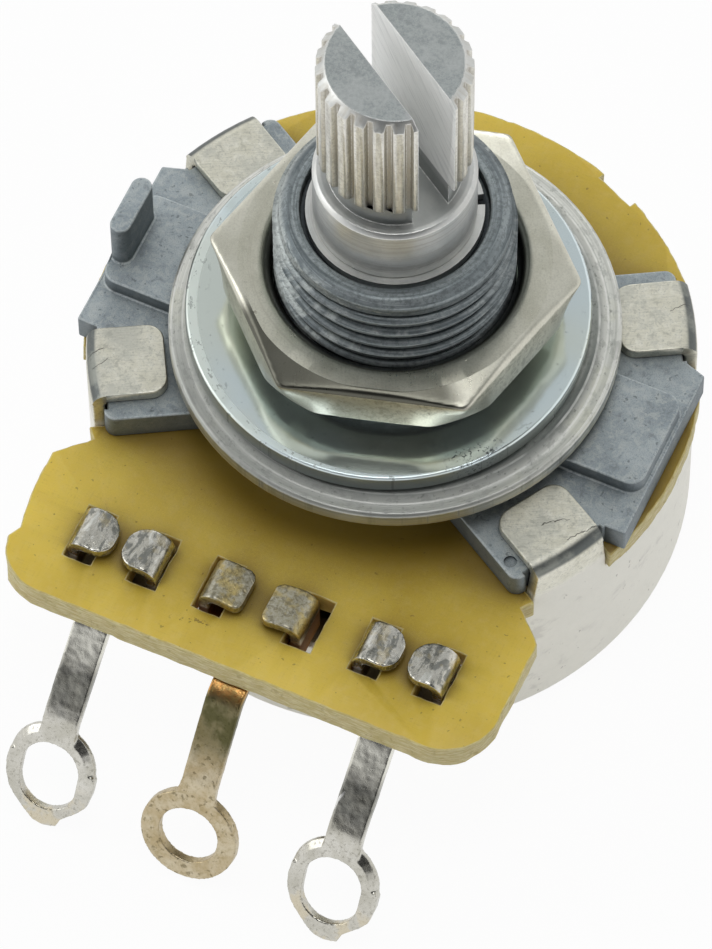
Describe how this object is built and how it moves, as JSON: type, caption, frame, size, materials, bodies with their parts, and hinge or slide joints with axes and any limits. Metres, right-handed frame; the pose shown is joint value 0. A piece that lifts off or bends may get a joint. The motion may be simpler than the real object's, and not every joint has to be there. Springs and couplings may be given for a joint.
{
  "type": "rotary potentiometer",
  "caption": "Panel-mount rotary potentiometer with a drawn can, threaded bushing, nut and washers, a split splined shaft and a row of solder lugs.",
  "frame": {"origin": "middle of the can's flat back face, on the shaft's axis", "axes": "+Z along the shaft towards its free end, -Y towards the solder lugs, +X to the right seen from the lugs' side with the shaft up"},
  "size_m": [0.0246, 0.0329, 0.0305],
  "materials": {
    "can_steel": "nickel-plated deep-drawn steel",
    "laminate": "translucent yellow laminate",
    "carbon_ink": "printed carbon",
    "silver_ink": "printed silver",
    "tinned_brass": "tinned brass sheet",
    "worn_brass": "worn, tarnished brass sheet",
    "zinc_casting": "matt as-cast zinc",
    "plated_spring_steel": "satin zinc plating",
    "bright_nickel": "bright plating",
    "nut_plate": "turned and plated",
    "shaft_metal": "nickel-plated, turned",
    "bronze": "spring bronze sheet",
    "phenolic": "moulded phenolic"
  },
  "bodies": {
    "housing": {"can": "can_steel", "contact_board": "laminate", "resistive_track": "carbon_ink", "collector_ring": "silver_ink", "end_contact_left": "silver_ink", "end_contact_right": "silver_ink", "terminal_left": "tinned_brass", "terminal_middle": "worn_brass", "terminal_right": "tinned_brass", "bushing_plate": "zinc_casting", "lock_washer": "plated_spring_steel", "flat_washer": "bright_nickel", "hex_nut": "nut_plate"},
    "spindle": {"shaft": "shaft_metal", "retaining_ring": "shaft_metal", "thrust_washer": "bronze", "spring_washer": "bronze", "rotor": "phenolic", "wiper": "bronze"}
  },
  "joints": [
    {"name": "shaft_turn", "type": "hinge", "parent": "housing", "child": "spindle", "pos_m": [0, 0, 0], "axis": [0, 0, 1], "range_deg": [-117.5, 182.5]}
  ]
}
